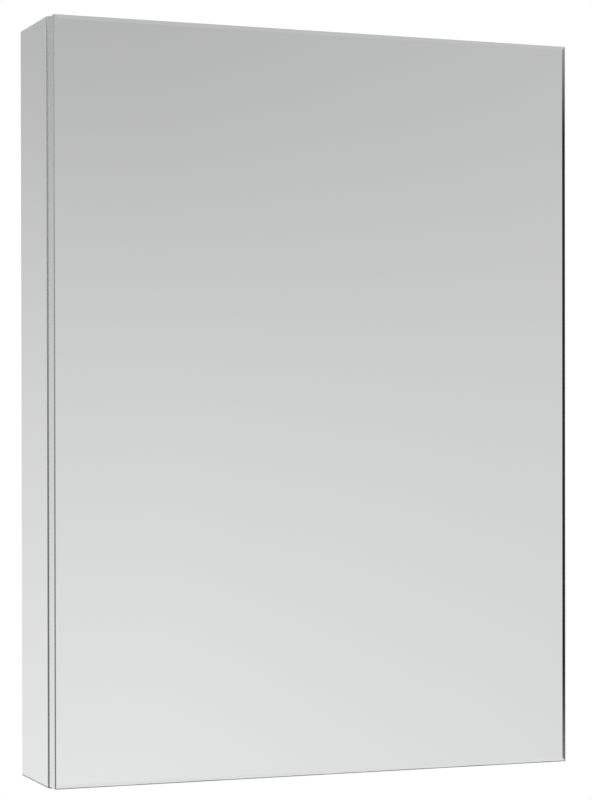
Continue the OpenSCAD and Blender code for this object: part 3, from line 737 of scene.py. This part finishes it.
latchScrew = {
    "shank": 3.0 * mm, "head": 5.5 * mm, "headHeight": 1.8 * mm, "length": 14.7 * mm, "slot": 0.8 * mm,
}
latchLow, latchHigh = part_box("latch_screws")
latchScrewY = (latchLow.y + latchHigh.y) / 2
latchScrewX = latchHigh.x - latchScrew["headHeight"]
latchScrewZs = [latchLow.z + latchScrew["head"] / 2, latchHigh.z - latchScrew["head"] / 2]
setScrews("latchScrews", latchScrew, [Vector((latchScrewX, latchScrewY, z)) for z in latchScrewZs],
          Matrix.Rotation(math.pi / 2, 4, "Z"), brightSteel, "case", "latch_screws")

reachScrew = {
    "shank": 6.0 * mm, "head": 9.0 * mm, "headHeight": 3.0 * mm, "gap": 2.8 * mm, "slot": 1.3 * mm,
}
reachLow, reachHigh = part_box("hanger_reach_screws")
reachX = reachHigh.x - reachScrew["head"] / 2
reachScrew["length"] = reachHigh.y - reachLow.y - reachScrew["headHeight"] - reachScrew["gap"]
setScrews("hangerReachScrews", reachScrew,
          [Vector((side * reachX, reachLow.y + reachScrew["headHeight"], (reachLow.z + reachHigh.z) / 2))
           for side in (-1, 1)], None, zincPlate, "case", "hanger_reach_screws")
print("screws made")


heightScrew = {"chamfer": 0.5 * mm, "socket": 0.5, "socketDepth": 3.0 * mm}


def makeHeightScrews(settings):
    # hexagon socket screws under the hooks
    low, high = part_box("hanger_height_screws")
    radius = (high.y - low.y) / 2
    made = []
    for side in (-1, 1):
        x, y = side * (high.x - radius), (low.y + high.y) / 2
        screw = addRod("heightScrew", radius, high.z - low.z, (x, y, (low.z + high.z) / 2), "z", sides=36)
        editStart(screw)
        bevelEdges(screw, lambda a, b: abs(a.z - b.z) < hair, settings["chamfer"], 2)
        editEnd()
        cutWith(screw, addRod("socketCutter", radius * settings["socket"], 2 * settings["socketDepth"],
                              (x, y, low.z), "z", sides=6))
        made.append(screw)
    screws = joinPieces(made, "hangerHeightScrews")
    finishPiece(screws, zincPlate, "case", "zinc_steel", "hanger_height_screws")


makeHeightScrews(heightScrew)

padSettings = {
    "foot": 0.7 * mm, "dome": 0.55, "rings": 5, "lean": 80.0,
    "pale": (0.84, 0.85, 0.85), "deep": (0.74, 0.75, 0.75), "hazeScale": 300.0, "index": 1.42,
    "scatter": 0.6, "scatterLength": 2.0 * mm,
}


def makeSilicone(settings):
    material, tree, shader, place = startMaterial("clearSilicone")
    shader.inputs["IOR"].default_value = settings["index"]
    shader.inputs["Subsurface Radius"].default_value = (1.0, 1.0, 1.0)
    shader.inputs["Subsurface Scale"].default_value = settings["scatterLength"]
    shader.inputs["Subsurface Weight"].default_value = settings["scatter"]
    haze = noise(tree, place, settings["hazeScale"], 3.0)
    colour = blendColours(tree, spread(tree, haze, 0.0, 1.0), rgba(settings["deep"]), rgba(settings["pale"]))
    dress(tree, shader, colour, spread(tree, haze, 0.18, 0.30))
    return material


def makePads(settings):
    # soft domed pads that the door closes against
    low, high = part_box("bumper_pads")
    radius = (high.x - low.x) / 2
    rise = high.y - low.y - settings["foot"]
    lean = math.radians(settings["lean"])
    made = []
    for z in (low.z + radius, high.z - radius):
        centre = ((low.x + high.x) / 2, high.y - settings["foot"] / 2, z)
        pad = addRod("pad", radius, settings["foot"], centre, "y", sides=40)
        editStart(pad)
        pickFaces(pad, lambda place, normal: normal.y < -0.9)
        up, wide = 0.0, 1.0
        for ring in range(1, settings["rings"] + 1):
            angle = lean * ring / settings["rings"]
            before, upBefore = wide, up
            up = rise * math.sin(angle) / math.sin(lean)
            wide = 1 - settings["dome"] * (1 - math.cos(angle))
            extrude((0, upBefore - up, 0), (wide / before, 1, wide / before))
        editEnd()
        made.append(pad)
    pads = joinPieces(made, "softPads")
    finishPiece(pads, makeSilicone(settings), "case", "clear_pad", "bumper_pads", angle=50.0)


makePads(padSettings)

supportSettings = {
    "pin": 5.0 * mm, "pinLength": 9.4 * mm, "pinRound": 0.6 * mm,
    "collar": 8.0 * mm, "collarThick": 1.2 * mm, "collarRound": 0.25 * mm,
    "spoon": 8.0 * mm, "spoonThick": 3.5 * mm, "reach": 8.0 * mm, "spoonGap": 0.2 * mm,
    "spoonRound": 3.2 * mm, "underRound": 0.8 * mm, "levels": (-160 * mm, 0.0, 160 * mm),
}


def makeSupports(settings):
    # a steel pin with a collar and a rounded spoon that the glass lies on
    low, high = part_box("shelf_supports")
    half = settings["spoon"] / 2
    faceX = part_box("right_side_panel")[0].x
    endX = faceX + settings["pinLength"]
    pin = addRod("pin", settings["pin"] / 2, settings["pinLength"], ((faceX + endX) / 2, 0, 0), "x", sides=28)
    editStart(pin)
    bevelEdges(pin, lambda a, b: min(a.x, b.x) > endX - hair, settings["pinRound"], 3)
    editEnd()
    collar = addRod("collar", settings["collar"] / 2, settings["collarThick"],
                    (faceX - settings["collarThick"] / 2, 0, 0), "x", sides=36)
    roundEdges(collar, settings["collarRound"], 2)
    top, tipX, rootX = settings["pin"] / 2, faceX - settings["reach"], faceX - settings["spoonGap"]
    spoon = addBlock("spoon", (tipX, -half, top - settings["spoonThick"]), (rootX, half, top))
    editStart(spoon)
    bevelEdges(spoon, lambda a, b: abs(a.z - b.z) > mm and a.x < tipX + mm, settings["spoonRound"], 8)
    bevelEdges(spoon, lambda a, b: abs(a.z - b.z) < hair and a.z < top - mm and max(a.x, b.x) < rootX - hair,
               settings["underRound"], 3)
    editEnd()
    master = joinPieces([pin, collar, spoon], "support")
    middle = high.z - settings["collar"] / 2 - settings["levels"][-1]
    made = []
    for y in (low.y + half, high.y - half):
        for level in settings["levels"]:
            here = Vector((0, y, middle + level))
            made.append(copyTo(master, here))
            made.append(copyTo(master, here, mirrorX))
    bpy.data.objects.remove(master)
    finishPiece(joinPieces(made, "shelfPins"), brightSteel, "case", "zinc_steel", "shelf_supports")


makeSupports(supportSettings)

coverSettings = {
    "wall": 1.2 * mm, "corner": 2.6 * mm, "cornerSteps": 5, "edge": 0.2 * mm,
    "notch": 9.0 * mm, "notchDrop": 2.2 * mm, "notchReach": 4.0 * mm,
}


def makeCovers(settings):
    # a thin box over each hanger, open to the back, to the board and below
    low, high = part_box("right_hanger_cover")
    cover = addBlock("cover", low, high)
    editStart(cover)
    pickFaces(cover, lambda place, normal: normal.y > 0.9 or normal.x > 0.9 or normal.z < -0.9)
    bpy.ops.mesh.delete(type="FACE")
    # the three edges between two closed sides
    bevelEdges(cover, lambda a, b: max(a.x, b.x) < high.x - mm and max(a.y, b.y) < high.y - mm
               or max(a.x, b.x) < high.x - mm and min(a.z, b.z) > low.z + mm
               or max(a.y, b.y) < high.y - mm and min(a.z, b.z) > low.z + mm,
               settings["corner"], settings["cornerSteps"])
    editEnd()
    applyModifier(cover, "SOLIDIFY", thickness=settings["wall"], offset=-1.0, use_even_offset=True)
    facesOut(cover)
    grip = ((low.x + high.x) / 2, low.y, low.z - settings["notchDrop"])
    cutWith(cover, addRod("gripCutter", settings["notch"] / 2, settings["notchReach"], grip, "y", sides=32))
    roundEdges(cover, settings["edge"], 1, 40.0)
    twin = copyTo(cover, (0, 0, 0), mirrorX)
    for piece, name, node in ((cover, "rightHangerCap", "right_hanger_cover"),
                              (twin, "leftHangerCap", "left_hanger_cover")):
        rename(piece, name)
        finishPiece(piece, whiteMoulding, "case", "white_plastic", node)


makeCovers(coverSettings)

camSettings = {"thick": 1.2 * mm, "round": 0.25 * mm, "rim": 1.0 * mm, "slope": 0.35 * mm, "dish": 0.3 * mm}


def makeCamCaps(settings):
    # round caps pressed into the boards over the cams, a little dished
    low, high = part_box("cam_caps")
    radius = (high.y - low.y) / 2
    x, y = high.x - radius, (low.y + high.y) / 2
    made = []
    for side in (-1, 1):
        for outer, up in ((high.z, 1), (low.z, -1)):
            centre = (side * x, y, outer - up * settings["thick"] / 2)
            cap = addRod("cap", radius, settings["thick"], centre, "z", sides=48)
            editStart(cap)
            bevelEdges(cap, lambda a, b: abs(a.z - outer) < hair and abs(b.z - outer) < hair,
                       settings["round"], 3)
            pickFaces(cap, lambda place, normal: normal.z * up > 0.99)
            bpy.ops.mesh.inset(thickness=settings["rim"])
            bpy.ops.mesh.inset(thickness=settings["slope"])
            bpy.ops.transform.translate(value=(0, 0, -up * settings["dish"]))
            editEnd()
            made.append(cap)
    finishPiece(joinPieces(made, "camCaps"), whiteMoulding, "case", "white_plastic", "cam_caps")


makeCamCaps(camSettings)

strikeSettings = {
    "rim": 0.35 * mm, "seat": 3.6 * mm, "sink": 0.25 * mm, "step": 0.15 * mm, "headRise": 0.2 * mm,
    "slotReach": 2.0 * mm, "slotWidth": 0.4 * mm, "slotDepth": 0.75 * mm,
}


def makeStrike(settings):
    # a steel disc with a turned rim and a sunk screw in the middle
    low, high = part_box("strike_plate")
    radius = (high.x - low.x) / 2
    centre = (low + high) / 2
    disc = addRod("strikeDisc", radius, high.y - low.y, centre, "y", sides=56)
    editStart(disc)
    bevelEdges(disc, lambda a, b: abs(a.y - high.y) < hair and abs(b.y - high.y) < hair, settings["rim"], 3)
    pickFaces(disc, lambda place, normal: normal.y > 0.99)
    bpy.ops.mesh.inset(thickness=radius - settings["rim"] - settings["seat"])
    for inset, rise in ((settings["sink"], -settings["sink"]), (settings["step"], settings["headRise"])):
        bpy.ops.mesh.inset(thickness=inset)
        bpy.ops.transform.translate(value=(0, rise, 0))
    editEnd()
    cutCross(disc, centre, settings["slotReach"], settings["slotWidth"],
             high.y - settings["slotDepth"], high.y + mm)
    finishPiece(disc, brightSteel, "door", "zinc_steel", "strike_plate", angle=25.0)


makeStrike(strikeSettings)

latchAxis = sum(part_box("latch_plunger"), Vector()) / 2
latchSettings = {
    "height": 14.0 * mm, "corner": 1.2 * mm, "bore": 4.1 * mm, "wall": 4.0 * mm,
    "ear": 3.0 * mm, "earLength": 10.0 * mm, "earBack": 6.0 * mm, "earRound": 4.6 * mm, "earEdge": 0.3 * mm,
    "boreCut": 60.0 * mm, "screwHole": 1.55 * mm, "holeCut": 12.0 * mm,
    "ribs": 4, "ribStart": 21.0 * mm, "ribEnd": 5.0 * mm, "ribInset": 3.2 * mm,
    "grooveWidth": 2.2 * mm, "grooveDepth": 0.6 * mm,
}


def makeLatch(settings, axis):
    # the push latch's housing: a ribbed body with a screw ear above and below
    low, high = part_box("latch_housing")
    foot, head = axis.z - settings["height"] / 2, axis.z + settings["height"] / 2
    body = addBlock("latchBody", (low.x, low.y, foot), (high.x, high.y, head))
    editStart(body)
    bevelEdges(body, lambda a, b: abs(a.y - b.y) > mm and min(a.x, b.x) > low.x + mm,
               settings["corner"] * 2, 5)
    bevelEdges(body, lambda a, b: abs(a.y - b.y) < hair and abs(a.y - high.y) < hair
               and max(a.x, b.x) > low.x + hair, settings["corner"], 3)
    editEnd()
    boreEnd = high.y - settings["wall"]
    bore = Vector((axis.x, (boreEnd + low.y) / 2 - mm, axis.z))
    cutWith(body, addRod("bore", settings["bore"], boreEnd - low.y + 2 * mm, bore, "y", sides=48))
    pitch = (high.y - low.y - settings["ribStart"] - settings["ribEnd"]) / settings["ribs"]
    left, right, deep = low.x + settings["ribInset"], high.x - settings["ribInset"], settings["grooveDepth"]
    for k in range(settings["ribs"]):
        y = low.y + settings["ribStart"] + k * pitch
        for z in (foot, head):
            groove = addBlock("groove", (left, y, z - deep), (right, y + settings["grooveWidth"], z + deep))
            cutWith(body, groove)
    earY = low.y + settings["earBack"]
    ears = addBlock("latchEars", (low.x, earY, low.z),
                    (low.x + settings["ear"], earY + settings["earLength"], high.z))
    editStart(ears)
    bevelEdges(ears, lambda a, b: abs(a.x - b.x) > mm, settings["earRound"], 8)
    editEnd()
    bore.y = low.y
    cutWith(ears, addRod("earBore", settings["bore"], settings["boreCut"], bore, "y", sides=48))
    for z in latchScrewZs:
        centre = (low.x, latchScrewY, z)
        cutWith(ears, addRod("screwHole", settings["screwHole"], settings["holeCut"], centre, "x", sides=24))
    roundEdges(ears, settings["earEdge"], 2, 50.0)
    latch = joinPieces([body, ears], "latchBody")
    finishPiece(latch, greyMoulding, "case", "grey_plastic", "latch_housing")


plungerSettings = {"nose": 0.45 * mm, "play": 0.05 * mm, "seatWall": 1.2 * mm, "seatDepth": 1.5 * mm}


def makePlunger(settings):
    # a round rod with rounded ends, the magnet's pocket in front and the spring's seat behind
    low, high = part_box("latch_plunger")
    magnetLow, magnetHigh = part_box("latch_magnet")
    radius = (high.x - low.x) / 2
    pocket = (magnetHigh.x - magnetLow.x) / 2 + settings["play"]
    rod = addRod("latchPin", radius, high.y - low.y, (low + high) / 2, "y", sides=48)
    editStart(rod)
    bevelEdges(rod, lambda a, b: abs(a.y - b.y) < hair, settings["nose"], 3)
    pickFaces(rod, lambda place, normal: normal.y < -0.99)
    bpy.ops.mesh.inset(thickness=radius - settings["nose"] - pocket)
    extrude((0, magnetHigh.y - low.y, 0))
    pickFaces(rod, lambda place, normal: normal.y > 0.99 and place.y > high.y - hair)
    bpy.ops.mesh.inset(thickness=settings["seatWall"])
    extrude((0, -settings["seatDepth"], 0))
    editEnd()
    finishPiece(rod, whiteMoulding, "plunger", "white_plastic", "latch_plunger")


coilSettings = {"wire": 0.8 * mm, "turns": 5, "stepsPerTurn": 28, "sides": 10, "travel": 3.0 * mm}


def makeCoil(settings, axis):
    # the spring stands on its back end
    low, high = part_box("latch_spring")
    wire = settings["wire"] / 2
    radius = (high.x - low.x) / 2 - wire
    length = high.y - low.y
    clearSelection()
    bpy.ops.mesh.primitive_circle_add(vertices=settings["sides"], radius=wire, fill_type="NOTHING",
                                      location=(0, 0, 0), rotation=(math.pi / 2, 0, 0))
    coil = bpy.context.object
    rename(coil, "latchCoil")
    settle(coil)
    coil.data.transform(Matrix.Translation((radius, 0, 0)))
    steps = settings["turns"] * settings["stepsPerTurn"]
    applyModifier(coil, "SCREW", axis="Z", angle=2 * math.pi * settings["turns"],
                  screw_offset=length - settings["wire"], steps=steps, render_steps=steps,
                  use_normal_calculate=True)
    editStart(coil)
    bpy.ops.mesh.select_mode(type="EDGE")
    bpy.ops.mesh.select_all(action="DESELECT")
    bpy.ops.mesh.select_non_manifold()
    bpy.ops.mesh.fill_holes(sides=0)
    editEnd()
    start = Matrix.Translation((axis.x, low.y + wire, axis.z))
    coil.data.transform(start @ Matrix.Rotation(-math.pi / 2, 4, "X"))
    finishPiece(coil, springSteel, "case", "spring_steel", "latch_spring", angle=60.0)
    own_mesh(coil)


makeLatch(latchSettings, latchAxis)
makePlunger(plungerSettings)
makeCoil(coilSettings, latchAxis)
print("fittings made")


sweepSettings = {
    # grey of the studio against the sine of the angle above the horizon, as the mirrors see it
    "stops": ((-0.5, 0.82), (-0.2, 0.88), (-0.1, 0.80), (0.0, 0.71), (0.1, 0.57), (0.2, 0.45), (0.6, 0.57)),
    "low": -0.6, "high": 0.7,
    "calmGrey": 0.635, "calmStart": 0.31, "calmEnd": 0.49, "calmShare": 0.42,
    "ambient": 0.56, "white": 1.0,
}

flagSettings = {
    # degrees to the right of the front, then sines of angles, sideways and above the horizon
    "azimuth": 55.75, "core": 0.005, "rim": 0.012, "top": (0.192, 0.119), "foot": (-0.22, -0.09),
    "shade": 0.02,
}


def darkFlag(tree, direction, settings):
    # a tall narrow dark flag with soft ends stands to the right of the camera
    azimuth = math.radians(settings["azimuth"])
    aim = Vector((math.sin(azimuth), -math.cos(azimuth), 0.0))
    aside = calcVector(tree, "DOT_PRODUCT", direction, aim.cross(Vector((0, 0, 1))))
    narrow = fade(tree, calc(tree, "ABSOLUTE", aside), settings["rim"], settings["core"])
    ahead = calc(tree, "GREATER_THAN", calcVector(tree, "DOT_PRODUCT", direction, aim), 0.0)
    height = split(tree, direction)[2]
    below, above = fade(tree, height, *settings["top"]), fade(tree, height, *settings["foot"])
    upright = calc(tree, "MULTIPLY", below, above)
    return calc(tree, "MULTIPLY", upright, calc(tree, "MULTIPLY", narrow, ahead))


def makeWorld(settings, flag):
    world = bpy.data.worlds.new("studio")
    bpy.context.scene.world = world
    world.use_nodes = True
    tree = world.node_tree
    background = next(n for n in tree.nodes if n.type == "BACKGROUND")
    direction = addNode(tree, "ShaderNodeTexCoord").outputs["Generated"]
    axes = split(tree, direction)
    ramp = addNode(tree, "ShaderNodeValToRGB")
    feed(tree, ramp.inputs["Fac"], mapRange(tree, axes[2], settings["low"], settings["high"]))
    ramp.color_ramp.interpolation = "B_SPLINE"
    steps = ramp.color_ramp.elements
    while len(steps) < len(settings["stops"]):
        steps.new(1.0)
    for step, (sine, level) in zip(steps, settings["stops"]):
        step.position = (sine - settings["low"]) / (settings["high"] - settings["low"])
        step.color = grey(level)
    # the sweep is weaker to the right
    calm = mapRange(tree, axes[0], settings["calmStart"], settings["calmEnd"], end=settings["calmShare"])
    swept = blendColours(tree, calm, ramp.outputs["Color"], grey(settings["calmGrey"]))
    seen = blendColours(tree, darkFlag(tree, direction, flag), swept, grey(flag["shade"]))
    rays = addNode(tree, "ShaderNodeLightPath").outputs
    bright = calc(tree, "MAXIMUM", rays["Is Camera Ray"], rays["Is Transmission Ray"])
    light = blendColours(tree, rays["Is Glossy Ray"], grey(settings["ambient"]), seen)
    feed(tree, background.inputs["Color"], blendColours(tree, bright, light, grey(settings["white"])))


makeWorld(sweepSettings, flagSettings)

lampAim = Vector((0, 0, -0.3))
lampSettings = [
    {"name": "frontBox", "place": (-1.9, -3.0, 1.7), "size": 1.8, "watts": 33, "mirrored": False},
    {"name": "sideBox", "place": (2.8, -1.2, 2.3), "size": 1.6, "watts": 18, "mirrored": True},
    {"name": "topBox", "place": (0.2, 0.4, 3.0), "size": 2.8, "watts": 14, "mirrored": True},
    {"name": "backBox", "place": (-0.8, 2.4, 2.6), "size": 1.8, "watts": 23, "mirrored": True},
]


def placeLamps(lamps):
    for lamp in lamps:
        data = bpy.data.lights.new(lamp["name"], "AREA")
        data.shape = "SQUARE"
        data.size = lamp["size"]
        data.energy = lamp["watts"]
        box = bpy.data.objects.new(lamp["name"], data)
        box.visible_glossy = lamp["mirrored"]  # the front lamp would fill the mirror with white
        bpy.context.scene.collection.objects.link(box)
        turn = (lampAim - Vector(lamp["place"])).to_track_quat("-Z", "Y").to_matrix().to_4x4()
        box.matrix_world = Matrix.Translation(lamp["place"]) @ turn


placeLamps(lampSettings)

floorSettings = {
    "level": -2.9, "radius": 8.0, "solid": 3.2, "gone": 7.68, "colour": (0.80, 0.80, 0.80),
    "grainScale": 30.0, "lift": 0.55, "mirrored": 0.95,  # of the lift, as the mirrors see it
}


def mixShaders(tree, factor, first, second):
    return addNode(tree, "ShaderNodeMixShader", factor, first, second).outputs[0]


def makeFloor(settings):
    # pale, lifted towards white where it is seen, and faded out before its rim
    clearSelection()
    bpy.ops.mesh.primitive_circle_add(vertices=96, radius=settings["radius"], fill_type="NGON",
                                      location=(0, 0, settings["level"]))
    floor = bpy.context.object
    floor.name = "floor"
    material = bpy.data.materials.new("paleFloor")
    material.use_nodes = True
    tree = material.node_tree
    tree.nodes.clear()
    output = addNode(tree, "ShaderNodeOutputMaterial")
    place = objectPlace(tree)
    away = calcVector(tree, "LENGTH", calcVector(tree, "MULTIPLY", place, (1.0, 1.0, 0.0)))
    chalk = addNode(tree, "ShaderNodeBsdfDiffuse")
    grain = noise(tree, place, settings["grainScale"], 4.0)
    feed(tree, chalk.inputs["Color"], mottle(tree, grain, settings["colour"], 0.99))
    glow = addNode(tree, "ShaderNodeEmission")
    clear = addNode(tree, "ShaderNodeBsdfTransparent")
    rays = addNode(tree, "ShaderNodeLightPath").outputs
    straight = calc(tree, "MAXIMUM", rays["Is Camera Ray"], rays["Is Transmission Ray"])
    mirrored = calc(tree, "MULTIPLY", rays["Is Glossy Ray"], settings["mirrored"])
    share = calc(tree, "MULTIPLY", calc(tree, "MAXIMUM", mirrored, straight), settings["lift"])
    lifted = mixShaders(tree, share, chalk.outputs[0], glow.outputs[0])
    gone = fade(tree, away, settings["solid"], settings["gone"])
    feed(tree, output.inputs["Surface"], mixShaders(tree, gone, lifted, clear.outputs[0]))
    floor.data.materials.append(material)
    settle(floor)


makeFloor(floorSettings)
print("studio ready")
